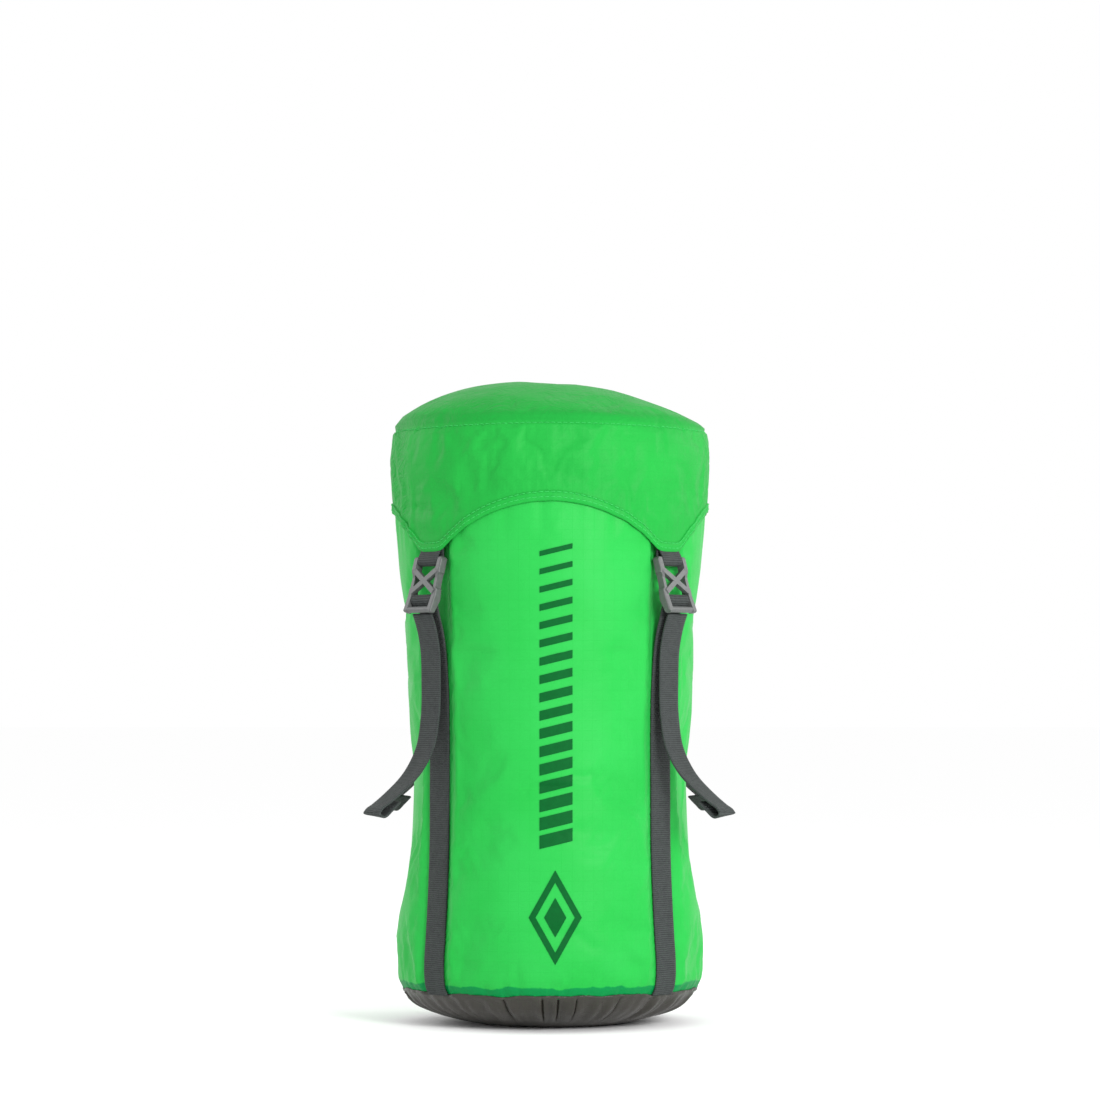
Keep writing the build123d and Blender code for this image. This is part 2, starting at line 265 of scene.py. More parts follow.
def coated_nylon(name, colour, dark, roughness, ripstop, gloss=0.15, allowance=None, crumple=0.0):
    """Thin coated ripstop: a fine plain weave, thicker threads in a grid, and soft colour variation.

    Below the height allowance, the cloth behind it shows through as a darker band. Crumple is how deep
    the creases are, in millimetres, most of all at the far left."""
    n = Nodes(name, colour, roughness)
    u, v = n.weave_axes()
    plain = n.math("MULTIPLY", n.stripes(u, 0.45 * MM), n.stripes(v, 0.45 * MM))
    grid = n.math("MAXIMUM", n.stripes(u, 5 * MM, 60), n.stripes(v, 5 * MM, 60))
    mottling = n.noise(34, 3)
    factor = n.math("ADD", n.remap(mottling, -0.35, 0.75), n.math("MULTIPLY", grid, ripstop * 0.4), True)
    shade = n.mix(factor, (*colour, 1), (*dark, 1))
    if allowance:
        ragged = n.math("MULTIPLY", n.noise(120, 3), 5 * MM)
        under = n.math("SUBTRACT", allowance, n.math("ADD", v, ragged))
        shade = n.mix(n.math("MULTIPLY", under, 1.6 / MM, True), shade, (*SEAM_GREEN, 1))
    n.link(shade, "Base Color")
    n.link(n.remap(n.noise(90, 2), roughness - 0.08, roughness + 0.1), "Roughness")
    low = n.bump(plain, 0.05 * MM, 0.5)
    high = n.bump(grid, 0.08 * MM, ripstop, low)
    crinkle = n.bump(n.noise(260, 4), 0.25 * MM, 0.25, high)
    if crumple:
        place_x, _, place_z = n.add("SeparateXYZ", {0: n.add("TexCoord").outputs["Object"]}).outputs
        left = n.math("SUBTRACT", -71 * MM, place_x)
        left = n.math("MULTIPLY", left, 120.0, True)
        up = n.math("MULTIPLY", n.math("ADD", place_z, 6 * MM - CROWN_Z), 60.0, True)
        where = n.math("ADD", n.math("MAXIMUM", left, n.math("MULTIPLY", up, 0.28)), 0.05, True)
        creases = n.noise(85.0, 4.0, 1.6)
        sharp = n.math("ABSOLUTE", n.math("SUBTRACT", creases, 0.5))
        height = n.math("MULTIPLY", n.math("MULTIPLY", sharp, where), -1.0)
        ragged = n.math("MULTIPLY", n.noise(150, 3), 7 * MM)
        low = n.math("MULTIPLY", n.math("SUBTRACT", place_z, CROWN_Z + 0.4 * MM), 1 / MM, True)
        high = n.math("SUBTRACT", CROWN_Z + 11 * MM, n.math("ADD", place_z, ragged))
        band = n.math("MULTIPLY", low, n.math("MULTIPLY", high, 0.5 / MM, True))
        n.link(n.mix(n.math("MULTIPLY", band, 0.6), shade, (*dark, 1)), "Base Color")
        crinkle = n.bump(height, crumple * 12 * MM, 0.55, crinkle)
    n.link(crinkle, "Normal")
    n.shader.inputs["Specular IOR Level"].default_value = gloss
    return n.material


def woven_webbing(name, colour, pale):
    """Flat woven webbing: ribs across, a fine herringbone, and paler worn edges. Its colour is also
    painted darker in the grooves and paler on the raised ribs: painted shade and highlight.
    """
    n = Nodes(name, colour, 0.72)
    u, v = n.weave_axes()
    uneven = n.math("ADD", v, n.math("MULTIPLY", n.noise(260, 2), 0.5 * MM))
    ribs = n.stripes(uneven, 1.05 * MM, 0.7)
    slant = n.math("ADD", v, n.math("MULTIPLY", n.math("ABSOLUTE", u), 0.6))
    twill = n.stripes(slant, 0.52 * MM)
    height = n.math("ADD", n.math("MULTIPLY", ribs, 0.7), n.math("MULTIPLY", twill, 0.3))
    edge = n.math("GREATER_THAN", n.math("ABSOLUTE", u), 0.44 * WEBBING_W)
    rib_shade_and_wear = n.math("ADD", n.remap(n.noise(420, 3), -0.45, 0.5), n.math("MULTIPLY", edge, 0.2))
    # painted shade and highlight: the colour follows the weave's height, darker in the grooves and paler
    # on the ribs
    rib_shade_and_wear = n.math("ADD", rib_shade_and_wear, n.math("MULTIPLY", height, 1.15), True)
    n.link(n.mix(rib_shade_and_wear, (*colour, 1), (*pale, 1)), "Base Color")
    n.link(n.bump(height, 0.35 * MM, 0.9), "Normal")
    n.shader.inputs["Sheen Weight"].default_value = 0.05
    n.shader.inputs["Sheen Roughness"].default_value = 0.5
    n.shader.inputs["Specular IOR Level"].default_value = 0.15
    return n.material


def moulded_plastic(name, colour, pale):
    """Mid-grey acetal with a fine spark-eroded grain."""
    n = Nodes(name, colour, 0.42)
    wear = n.remap(n.noise(700, 4), -0.2, 0.9)
    n.link(n.mix(wear, (*colour, 1), (*pale, 1)), "Base Color")
    n.link(n.remap(n.noise(1500, 2), 0.34, 0.56), "Roughness")
    n.link(n.bump(n.noise(5200, 2), 0.06 * MM, 0.5), "Normal")
    return n.material


def plain(name, colour, roughness, grain, depth, gloss=0.15, metallic=0.0):
    """An even material with a fine grain, depth millimetres deep."""
    n = Nodes(name, colour, roughness)
    darker = tuple(c * 0.72 for c in colour)
    n.link(n.mix(n.remap(n.noise(grain / 6, 3), 0, 1), (*colour, 1), (*darker, 1)), "Base Color")
    n.link(n.bump(n.noise(grain, 3), depth * MM, 0.6), "Normal")
    n.shader.inputs["Metallic"].default_value = metallic
    n.shader.inputs["Specular IOR Level"].default_value = gloss
    return n.material


GREEN = (0.022, 0.385, 0.060)
GREEN_DEEP = (0.009, 0.330, 0.036)
CAP_GREEN = (0.014, 0.318, 0.042)
CAP_GREEN_DEEP = (0.009, 0.250, 0.032)
SEAM_GREEN = (0.002, 0.215, 0.050)
BASE_GREY = (0.036, 0.033, 0.027)
WEBBING_GREY = (0.014, 0.017, 0.017)
BUCKLE_GREY = (0.062, 0.066, 0.065)
INK = (0.0015, 0.098, 0.018)

body_cloth = coated_nylon("body_cloth", GREEN, GREEN_DEEP, 0.38, 0.3, 0.08)
tube_cloth = coated_nylon(
    "tube_cloth", GREEN, GREEN_DEEP, 0.38, 0.3, 0.08, allowance=BASE_SEAM_Z + 8.6 * MM
)
cap_cloth = coated_nylon("cap_cloth", CAP_GREEN, CAP_GREEN_DEEP, 0.42, 0.35, 0.07, crumple=0.7)
hem_cloth = coated_nylon("hem_cloth", CAP_GREEN, CAP_GREEN_DEEP, 0.42, 0.3, 0.07)
seam_cloth = coated_nylon("seam_cloth", SEAM_GREEN, SEAM_GREEN, 0.45, 0.3)
base_cloth = coated_nylon("base_cloth", BASE_GREY, (0.024, 0.022, 0.018), 0.32, 0.5, 0.32)
webbing_cloth = woven_webbing("webbing_cloth", WEBBING_GREY, (0.046, 0.053, 0.052))
buckle_plastic = moulded_plastic("buckle_plastic", BUCKLE_GREY, (0.108, 0.114, 0.113))
thread = plain("thread", (0.04, 0.50, 0.10), 0.6, 5000, 0.04)
grey_thread = plain("grey_thread", (0.10, 0.11, 0.11), 0.6, 5000, 0.04)
ink = plain("ink", INK, 0.6, 2500, 0.03, gloss=0.06)
eyelet_metal = plain("eyelet_metal", (0.35, 0.35, 0.35), 0.32, 2500, 0.01, gloss=0.5, metallic=1.0)


def dress(obj, material, body=None, node=None):
    obj.data.materials.clear()
    obj.data.materials.append(material)
    if body:
        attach(obj, body)
    if node:
        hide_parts(node)
    return obj


# The stuffed tube


def strap_radius(z):
    """Distance of the strap's inner face from the axis, at a height in metres."""
    rz = route(STRAP_ROUTE)
    return np.interp(z, rz[:, 1], rz[:, 0]) - WEBBING_T / 2


def groove_radius(z):
    """How near the axis a strap presses the cloth, at rest and with the cap lifted."""
    heights, radii = np.array(LIFTED_STRAP).T * MM
    return np.minimum(strap_radius(z), np.where(z < heights[0], 1.0, np.interp(z, heights, radii)))


def corner_gap(angle):
    """Smallest angle from each angle to a strap."""
    gap = np.full(np.shape(angle), 9.0)
    for corner in CORNERS.values():
        gap = np.minimum(gap, np.abs((angle - corner + math.pi) % (TURN) - math.pi))
    return gap


def tube_radius(angle, z):
    """Radius of the tube's cloth: full at the front and rear, flatter at the sides, and pressed in by
    the straps."""
    side = spline(TUBE_SIDE, z / MM) * MM
    fullness = smooth((z - BASE_SEAM_Z) / (75 * MM)) * smooth((THROAT_Z + 6 * MM - z) / (100 * MM))
    r = side + 6.2 * MM * fullness * (1 - np.abs(np.sin(angle)) ** 4.8)
    away = corner_gap(angle) * r - WEBBING_W / 2
    press = np.maximum(r - groove_radius(z), 0)
    r = r - press * (1 - smooth(away / (7 * MM)))
    lip = np.exp(-(((away - 6 * MM) / (4.5 * MM)) ** 2)) * smooth(press / (1.5 * MM))
    return r + 0.7 * MM * lip


def puckers(angle, z):
    """How far the cloth stands out in the small folds from the throat and from the base seam."""
    rng = np.random.default_rng(11)
    folds = []
    for low, high in ((26, 60), (34, 84)):
        counts, turns = rng.integers(low, high, 7), rng.uniform(0, TURN, 7)
        folds.append(sum(np.sin(k * angle + t) for k, t in zip(counts, turns)) / 2.6)
    top = smooth((z - (THROAT_Z - 52 * MM)) / (34 * MM)) * 0.55 * MM
    foot = (1 - smooth((z - BASE_SEAM_Z) / (20 * MM))) * 0.32 * MM
    return folds[0] * top + folds[1] * foot


def simulate(obj, pinned, pressure, growth, frames, limit):
    """Cloth simulation of a sheet that is growth larger than it starts, held where pinned is 1.

    No point ends up further than limit from where it starts."""
    start = vertex_array(obj)
    group = obj.vertex_groups.new(name="pinned")
    for level in np.unique(np.round(pinned, 2)):
        group.add([int(i) for i in np.nonzero(np.round(pinned, 2) == level)[0]], float(level), "REPLACE")
    cloth = obj.modifiers.new("cloth", "CLOTH")
    settings = cloth.settings
    settings.quality = 6
    settings.mass = 0.15
    settings.air_damping = 4
    settings.tension_stiffness = settings.compression_stiffness = 25
    settings.shear_stiffness = 12
    settings.bending_stiffness = 0.15
    settings.use_pressure = True
    settings.uniform_pressure_force = pressure
    settings.shrink_min = settings.shrink_max = -growth
    settings.vertex_group_mass = "pinned"
    settings.effector_weights.gravity = 0
    cloth.collision_settings.use_collision = False
    cloth.point_cache.frame_end = frames
    for number in range(1, frames + 1):
        bpy.context.scene.frame_set(number)
    graph = bpy.context.evaluated_depsgraph_get()
    result = obj.evaluated_get(graph).to_mesh()
    end = np.zeros(len(result.vertices) * 3)
    result.vertices.foreach_get("co", end)
    obj.evaluated_get(graph).to_mesh_clear()
    obj.modifiers.remove(cloth)
    bpy.context.scene.frame_set(1)
    obj.vertex_groups.clear()
    move = end.reshape(-1, 3) - start
    length = np.linalg.norm(move, axis=1, keepdims=True)
    move *= np.minimum(1, limit / np.maximum(length, 1e-9))
    set_vertices(obj, start + move)
    return obj


def vertex_array(obj):
    co = np.zeros(len(obj.data.vertices) * 3)
    obj.data.vertices.foreach_get("co", co)
    return co.reshape(-1, 3)


def set_vertices(obj, points):
    obj.data.vertices.foreach_set("co", np.asarray(points, np.float32).ravel())
    obj.data.update()


def normals(obj):
    out = np.zeros(len(obj.data.vertices) * 3)
    obj.data.vertex_normals.foreach_get("vector", out)
    return out.reshape(-1, 3)


TUBE_COLS = 320
TUBE_ROWS = 130
TUBE_R = 75 * MM  # about the tube's radius all the way up


def make_tube():
    angles = np.arange(TUBE_COLS) * TURN / TUBE_COLS + math.pi
    z = np.linspace(BASE_SEAM_Z, THROAT_Z, TUBE_ROWS)
    grid_z, grid_a = np.meshgrid(z, angles, indexing="ij")
    points = place(tube_radius(grid_a, grid_z) + puckers(grid_a, grid_z), grid_a, grid_z)
    across = np.linspace(0, TURN * TUBE_R, TUBE_COLS + 1)
    faces = grid_faces(TUBE_ROWS, TUBE_COLS, True)
    obj = new_mesh("tube_cloth", points.reshape(-1, 3), faces, grid_uv(across, z, True))
    under_strap = 1 - smooth((corner_gap(grid_a) * TUBE_R - WEBBING_W / 2) / (3 * MM))
    ends = 1 - smooth(np.minimum(grid_z - BASE_SEAM_Z, THROAT_Z - grid_z) / (2.5 * MM))
    pinned = np.maximum(0.8 * under_strap, ends).ravel()
    return simulate(obj, pinned, 2.0, 0.011, 18, 1.4 * MM)


tube = make_tube()
tube_surface = BVHTree.FromPolygons(
    [tuple(v) for v in vertex_array(tube)], [tuple(p.vertices) for p in tube.data.polygons]
)

# The base

# (angle, height in millimetres) of the folds at the base's edge; the two at the front are the deepest
BASE_PLEATS = [(-0.068, 1.9), (0.038, 2.1), (0.165, 1.0), (-0.33, 0.8), (0.47, 0.9), (1.3, 1.6)]
BASE_PLEATS += [(1.9, 1.8), (2.7, 1.5), (-1.4, 1.6), (-2.4, 1.7)]


def make_base():
    """The base panel: flat in the middle, and gathered into the seam with two pleats at the front."""
    rings, uniform, pleat_cols = 44, 400, 41
    pleat_half = 0.058  # the angle to each side of a pleat where the columns are close together
    centres = np.array([centre for centre, _ in BASE_PLEATS])
    angles = np.arange(uniform) * TURN / uniform
    apart = np.abs((angles[:, None] - centres + math.pi) % TURN - math.pi).min(axis=1)
    close = (centres[:, None] + np.linspace(-pleat_half, pleat_half, pleat_cols)).ravel() % TURN
    angles = np.sort(np.concatenate([angles[apart > pleat_half + 0.002], close]))
    cols = len(angles)
    share = np.linspace(0.02, 1, rings) ** 0.8
    grid_t, grid_a = np.meshgrid(share, angles, indexing="ij")
    edge = tube_radius(grid_a, BASE_SEAM_Z)
    radius = grid_t * edge
    z = spline(BASE_SIDE, np.minimum(grid_t * BASE_EDGE, BASE_EDGE)) * MM
    rng = np.random.default_rng(3)
    waves = zip(rng.integers(24, 90, 14), rng.uniform(0.12, 0.36, 14), rng.uniform(0, 6.3, 14))
    gathers = sum(size * np.sin(number * grid_a + phase) for number, size, phase in waves)
    out = gathers * MM * smooth((grid_t - 0.62) / 0.3) * (1 - 0.7 * smooth((grid_t - 0.96) / 0.04))
    for centre, height in BASE_PLEATS:
        d = ((grid_a - centre + math.pi) % TURN - math.pi) * 74  # along the edge, in millimetres
        ridge = np.where(d < 0, np.exp(-((d / 2.2) ** 2)), np.exp(-((d / 0.4) ** 2)))
        trench = np.exp(-(((d - 1.15) / 0.5) ** 2))
        deep = smooth((grid_t - 0.72) / 0.16)
        out = out + height * MM * (ridge - 1.1 * trench) * deep
    slope = smooth((grid_t - 0.5) / 0.5)
    radius = radius + out * slope * 0.5
    z = np.maximum(z - out * (0.9 - 0.5 * slope), 0)
    # the panel's edge stands just outside the tube's, and its height wanders as a hand-fed seam's does
    waves = ((5, 0.4), (11, 2.0), (17, 4.4), (29, 1.1))
    wander = sum(np.sin(number * angles + phase) for number, phase in waves) * 0.22 * MM
    lips = []
    for rise, out in ((0.5, 0.5), (1.2, 0.42), (1.5, 0.1)):
        height = BASE_SEAM_Z + rise * MM + wander
        reach = tube_radius(angles, height) + puckers(angles, height) + out * MM
        lips.append(place(reach, angles, height))
    points = np.concatenate([place(radius, grid_a, z).reshape(-1, 3)] + lips)
    faces = grid_faces(rings + len(lips), cols, True)
    faces.append(tuple(reversed(range(cols))))
    uv = [(points[i][0], points[i][1]) for f in faces for i in f]
    return thicken(new_mesh("base_cloth_panel", points, faces, uv), FABRIC_T, 1.0)


base = make_base()

# The cap

CAP_COLS = 360
SKIRT_ROWS = 40
SKIRT_R = 81.6 * MM
HEM_W = 4.6 * MM


def edge_height(angle):
    """Height of the skirt's scalloped edge: arches between the four points."""
    r = SKIRT_R
    point_half = 8.3 * MM
    front_half = r * math.sin(STRAP_ANGLE) - point_half * math.cos(STRAP_ANGLE)
    side_half = r * math.cos(STRAP_ANGLE) - point_half * math.sin(STRAP_ANGLE)
    x, y = np.abs(r * np.sin(angle)), np.abs(r * np.cos(angle))

    def arch(d, half, rise):
        big = (half * half + rise * rise) / (2 * rise)
        return np.sqrt(np.maximum(big * big - d * d, 0)) - (big - rise)

    front = np.maximum(arch(x, front_half, 24.5 * MM), 0) * (x < front_half)
    side = np.maximum(arch(y, side_half, 22.6 * MM), 0) * (y < side_half)
    return POINT_Z + np.maximum(front, side)


def skirt_radius(angle, z):
    r = spline(SKIRT_SIDE, z / MM) * MM
    front = 1 - np.abs(np.sin(angle)) ** 4
    pull = np.exp(-((corner_gap(angle) / 0.22) ** 2)) * smooth((275 * MM - z) / (30 * MM))
    return r + 0.9 * MM * front - 0.8 * MM * pull


def crown_grid():
    """A square grid laid on the round crown: its border has one point for each of the skirt's columns."""
    side = np.linspace(-1, 1, CAP_COLS // 4 + 1)
    b, a = np.meshgrid(side, side, indexing="ij")
    r = np.maximum(np.abs(a), np.abs(b))
    safe_a, safe_b = np.where(a == 0, 1, a), np.where(b == 0, 1, b)
    by_a = math.pi / 4 * b / safe_a + np.where(a < 0, math.pi, 0)
    by_b = math.pi / 2 - math.pi / 4 * a / safe_b + np.where(b < 0, math.pi, 0)
    angle = np.where(np.abs(a) >= np.abs(b), by_a, by_b)
    return r, angle


def make_cap():
    """Crown and skirt as one sheet, sewn together at the crown's edge."""
    angles = np.arange(CAP_COLS) * TURN / CAP_COLS
    low = edge_height(angles)
    low = (np.roll(low, 2) + np.roll(low, 1) + low + np.roll(low, -1) + np.roll(low, -2)) / 5
    top = CROWN_Z + 0.0004
    share = np.concatenate([np.linspace(0, HEM_W, 4), np.zeros(SKIRT_ROWS - 4)])
    rows = []
    for i in range(SKIRT_ROWS):
        t = ((i - 3) / (SKIRT_ROWS - 4)) ** 0.85
        z = low + share[i] if i < 4 else (low + HEM_W) * (1 - t) + top * t
        rows.append(place(skirt_radius(angles, z), angles, z))
    points = np.concatenate(rows)
    faces = grid_faces(SKIRT_ROWS, CAP_COLS, True)
    across = np.linspace(0, TURN * SKIRT_R, CAP_COLS + 1)
    uv = []
    for i in range(SKIRT_ROWS - 1):
        for j in range(CAP_COLS):
            k = (j + 1) % CAP_COLS
            zs = [rows[i][j][2], rows[i][k][2], rows[i + 1][k][2], rows[i + 1][j][2]]
            us = [across[j], across[j + 1], across[j + 1], across[j]]
            uv += list(zip(us, zs))

    r, angle = crown_grid()
    seam_row = (SKIRT_ROWS - 1) * CAP_COLS
    seam_r = np.linalg.norm(rows[-1][:, :2], axis=1).mean()
    # the grid's angle is measured from +X; the cap's columns from the front
    from_front = angle + math.pi / 2
    radius = r * seam_r
    z = spline(CROWN_SIDE, r * CROWN_EDGE) * MM + (top - CROWN_SIDE[-1][1] * MM) * r
    x = radius * np.sin(from_front)
    z = z - 4.4 * MM * (x / seam_r) * np.sin(math.pi * np.clip(r, 0, 1)) ** 0.7
    crown = place(radius, from_front, z)
    n = r.shape[0]
    index = np.zeros((n, n), int)
    extra = []
    for i in range(n):
        for j in range(n):
            if i in (0, n - 1) or j in (0, n - 1):
                column = int(round(from_front[i, j] / (TURN) * CAP_COLS)) % CAP_COLS
                index[i, j] = seam_row + column
            else:
                index[i, j] = len(points) + len(extra)
                extra.append(crown[i, j])
    points = np.concatenate([points, np.array(extra)])
    for i in range(n - 1):
        for j in range(n - 1):
            f = (index[i, j], index[i, j + 1], index[i + 1, j + 1], index[i + 1, j])
            faces.append(tuple(int(v) for v in f))
            uv += [(points[v][0], points[v][1]) for v in f]
    # the crown's seam is pulled in a little, between two full panels
    seam_line = place(seam_r, np.arctan2(points[:, 0], -points[:, 1]), top)
    reach = np.linalg.norm(points - seam_line, axis=1)
    points[:, :2] *= (1 - 0.9 * MM / seam_r * np.exp(-((reach / (1.1 * MM)) ** 2)))[:, None]
    obj = new_mesh("cap_cloth_sheet", points, faces, uv)

    co = points
    radial = np.linalg.norm(co[:, :2], axis=1)
    from_front = np.arctan2(co[:, 0], -co[:, 1])
    seam = np.exp(-(((co[:, 2] - top) / (1.2 * MM)) ** 2)) * (radial > 0.97 * seam_r)
    edge = np.zeros(len(co))
    edge[: CAP_COLS * 4] = 0.85
    corner = (corner_gap(from_front) * radial < 8 * MM) & (co[:, 2] < POINT_Z + 10 * MM)
    pinned = np.maximum(np.maximum(seam * 0.9, edge), corner * 1.0)
    simulate(obj, pinned, 1.0, 0.014, 20, 1.5 * MM)
    return obj


cap = make_cap()


def keep_outside_tube(obj, gap=1.1 * MM):
    """Moves points of a piece that lie in the tube, or too near it, straight out."""
    co = vertex_array(obj)
    radial = np.linalg.norm(co[:, :2], axis=1)
    for i in np.nonzero((co[:, 2] < THROAT_Z) & (radial > 0.06))[0]:
        out = Vector((co[i, 0], co[i, 1], 0)).normalized()
        hit = tube_surface.ray_cast(out * 0.2 + Vector((0, 0, co[i, 2])), -out)[0]
        least = math.hypot(hit.x, hit.y) + gap if hit else 0
        if least > radial[i]:
            co[i, :2] *= least / radial[i]
    set_vertices(obj, co)


keep_outside_tube(cap)
hem_rows = vertex_array(cap)[: 4 * CAP_COLS].reshape(4, CAP_COLS, 3)
hem_normals = normals(cap)[: 4 * CAP_COLS].reshape(4, CAP_COLS, 3)


def make_hem():
    """The skirt's edge folded up and sewn: a flat tube of cloth round the scallops."""
    rows, out = hem_rows, hem_normals
    down = np.array([0, 0, -1.0])
    ring = [
        rows[3] + out[3] * 0.15 * MM,
        rows[3] + out[3] * 0.5 * MM + down * 0.3 * MM,
        rows[2] + out[2] * 0.62 * MM,
        rows[1] + out[1] * 0.62 * MM,
        rows[0] + out[0] * 0.5 * MM + down * 0.15 * MM,
        rows[0] + out[0] * 0.05 * MM + down * 0.45 * MM,
        rows[0] - out[0] * 0.55 * MM,
        rows[1] - out[1] * 0.6 * MM,
        rows[3] - out[3] * 0.45 * MM,
        rows[3] - out[3] * 0.2 * MM,
    ]
    points = np.concatenate(ring)
    count = len(ring)
    faces, uv = [], []
    across = np.linspace(0, TURN * SKIRT_R, CAP_COLS + 1)
    along = np.array([0, 0.4, 1.8, 3.2, 4.7, 5.1, 5.6, 7, 10, 10.4, 10.8]) * MM
    for i in range(count):
        for j in range(CAP_COLS):
            k, m = (j + 1) % CAP_COLS, (i + 1) % count
            faces.append((m * CAP_COLS + j, m * CAP_COLS + k, i * CAP_COLS + k, i * CAP_COLS + j))
            uv += [(across[j], along[i + 1]), (across[j + 1], along[i + 1])]
            uv += [(across[j + 1], along[i]), (across[j], along[i])]
    return new_mesh("cap_hem", points, faces, uv)


hem = make_hem()


def stitches(name, path, out, pitch=3.1 * MM, length=2.3 * MM, radius=0.17 * MM, closed=True):
    """A row of thread stitches along a path that lies on the cloth."""
    pts = np.concatenate([path, path[:1]]) if closed else path
    nrm = np.concatenate([out, out[:1]]) if closed else out
    along = np.concatenate([[0], np.cumsum(np.linalg.norm(np.diff(pts, axis=0), axis=1))])
    count = int(along[-1] / pitch)
    points, faces = [], []
    sides, rings = 6, ((0.0, -0.9), (0.12, 0.5), (0.5, 0.95), (0.88, 0.5), (1.0, -0.9))
    for number in range(count):
        begin = along[-1] * (number + 0.5) / count - length / 2
        first = len(points)
        for share, lift in rings:
            s = begin + share * length
            centre = np.array([np.interp(s, along, pts[:, c]) for c in range(3)])
            ahead = np.array([np.interp(s + 0.4 * MM, along, pts[:, c]) for c in range(3)]) - centre
            up = np.array([np.interp(s, along, nrm[:, c]) for c in range(3)])
            ahead /= max(np.linalg.norm(ahead), 1e-9)
            side = np.cross(up, ahead)
            for k in range(sides):
                turn = TURN * k / sides
                spread = radius * (1.25 * math.cos(turn) * side + math.sin(turn) * up)
                points.append(centre + up * radius * lift + spread)
        for i in range(len(rings) - 1):
            for k in range(sides):
                m = (k + 1) % sides
                a, b = first + i * sides, first + (i + 1) * sides
                faces.append((a + k, b + k, b + m, a + m))
        faces.append(tuple(first + k for k in range(sides)))
        last = first + (len(rings) - 1) * sides
        faces.append(tuple(last + k for k in reversed(range(sides))))
    return new_mesh(name, points, faces)


def crown_stitches():
    """One row just under the crown's seam."""
    path = vertex_array(cap)[(SKIRT_ROWS - 2) * CAP_COLS : (SKIRT_ROWS - 1) * CAP_COLS]
    out = normals(cap)[(SKIRT_ROWS - 2) * CAP_COLS : (SKIRT_ROWS - 1) * CAP_COLS]
    return stitches("crown_stitches", path + out * 0.1 * MM, out)


def hem_stitches():
    rows = []
    for name, row, share in (("upper", 2.72, 0.55), ("lower", 1.05, 0.66)):
        i = int(row)
        t = row - i
        path = hem_rows[i] * (1 - t) + hem_rows[i + 1] * t
        out = hem_normals[i]
        rows.append(stitches(f"hem_stitches_{name}", path + out * 0.62 * MM, out))
    return rows


# Webbing


def ribbon_frame(line, angle, twist=0.0, drift=0.0):
    """Along a line in the plane at one angle: the distance, the middle, and the directions of the width
    and of the face."""
    step = np.gradient(line, axis=0)
    step /= np.linalg.norm(step, axis=1, keepdims=True)
    outward = np.array([math.sin(angle), -math.cos(angle), 0])
    sideways = np.array([math.cos(angle), math.sin(angle), 0])
    up = np.array([0, 0, 1.0])
    along = np.concatenate([[0], np.cumsum(np.linalg.norm(np.diff(line, axis=0), axis=1))])
    share = smooth(along / along[-1])[:, None]
    centre = line[:, :1] * outward + line[:, 1:] * up + drift * share * sideways
    normal = step[:, 1:] * outward - step[:, :1] * up
    wide = sideways * np.cos(twist * share) + normal * np.sin(twist * share)
    flat = normal * np.cos(twist * share) - sideways * np.sin(twist * share)
    return along, centre, wide, flat


def cross_stitches(name, line, angle, at, twist=0.0, drift=0.0):
    """Two rows of stitches across webbing, at a distance from the line's start."""
    along, centre, wide, flat = ribbon_frame(line, angle, twist, drift)
    rows = []
    for number in range(2):
        i = int(np.searchsorted(along, at + number * 2.2 * MM))
        across = np.linspace(-0.42, 0.42, 12)[:, None] * WEBBING_W
        path = centre[i] + wide[i] * across + flat[i] * WEBBING_T * 0.5
        out = np.repeat(flat[i : i + 1], 12, 0)
        rows.append(stitches(f"{name}_{number}", path, out, 2.1 * MM, 1.6 * MM, closed=False))
    return rows


def ribbon(name, line, angle, twist=0.0, drift=0.0, start=0.0):
    """Webbing along a line of (distance from axis, height) points in the plane at one angle.

    It turns by twist and moves sideways by drift towards its end."""
    count = len(line)
    half, thick = WEBBING_W / 2, WEBBING_T / 2
    profile = []
    for s in np.linspace(-1, 1, 11):
        profile.append((s * (half - 0.3 * MM), thick * (1.0 - 0.10 * math.cos(s * math.pi / 2) ** 2)))
    profile += [(half - 0.05 * MM, thick * 0.6), (half, 0), (half - 0.05 * MM, -thick * 0.6)]
    profile += [(u, -n) for u, n in reversed(profile[:11])]
    profile += [(-half + 0.05 * MM, -thick * 0.6), (-half, 0), (-half + 0.05 * MM, thick * 0.6)]
    along, centre, wide, flat = ribbon_frame(line, angle, twist, drift)
    points = [centre[i] + wide[i] * u + flat[i] * n for i in range(count) for u, n in profile]
    cols = len(profile)
    faces, uv = [], []
    us = [u for u, n in profile] + [profile[0][0]]
    for i in range(count - 1):
        for j in range(cols):
            k = (j + 1) % cols
            faces.append((i * cols + j, (i + 1) * cols + j, (i + 1) * cols + k, i * cols + k))
            low, high = start + along[i], start + along[i + 1]
            uv += [(us[j], low), (us[j], high), (us[j + 1], high), (us[j + 1], low)]
    first, last = list(range(cols)), [(count - 1) * cols + j for j in range(cols)]
    faces += [tuple(first), tuple(reversed(last))]
    uv += [(us[j], start) for j in range(cols)]
    uv += [(us[j], start + along[-1]) for j in reversed(range(cols))]
    return new_mesh(name, points, faces, uv)


BUCKLE_TILT = math.radians(13)
BUCKLE_BAR = (80.3, 236.6)
MIDDLE_BAR_V = -20.0
LIFT_BAR_V = -25.8


def on_buckle(n, v):
    """A point of the buckle's side view as (distance from axis, height), in millimetres."""
    c, s = math.cos(BUCKLE_TILT), math.sin(BUCKLE_TILT)
    return (BUCKLE_BAR[0] - v * s + n * c, BUCKLE_BAR[1] + v * c + n * s)


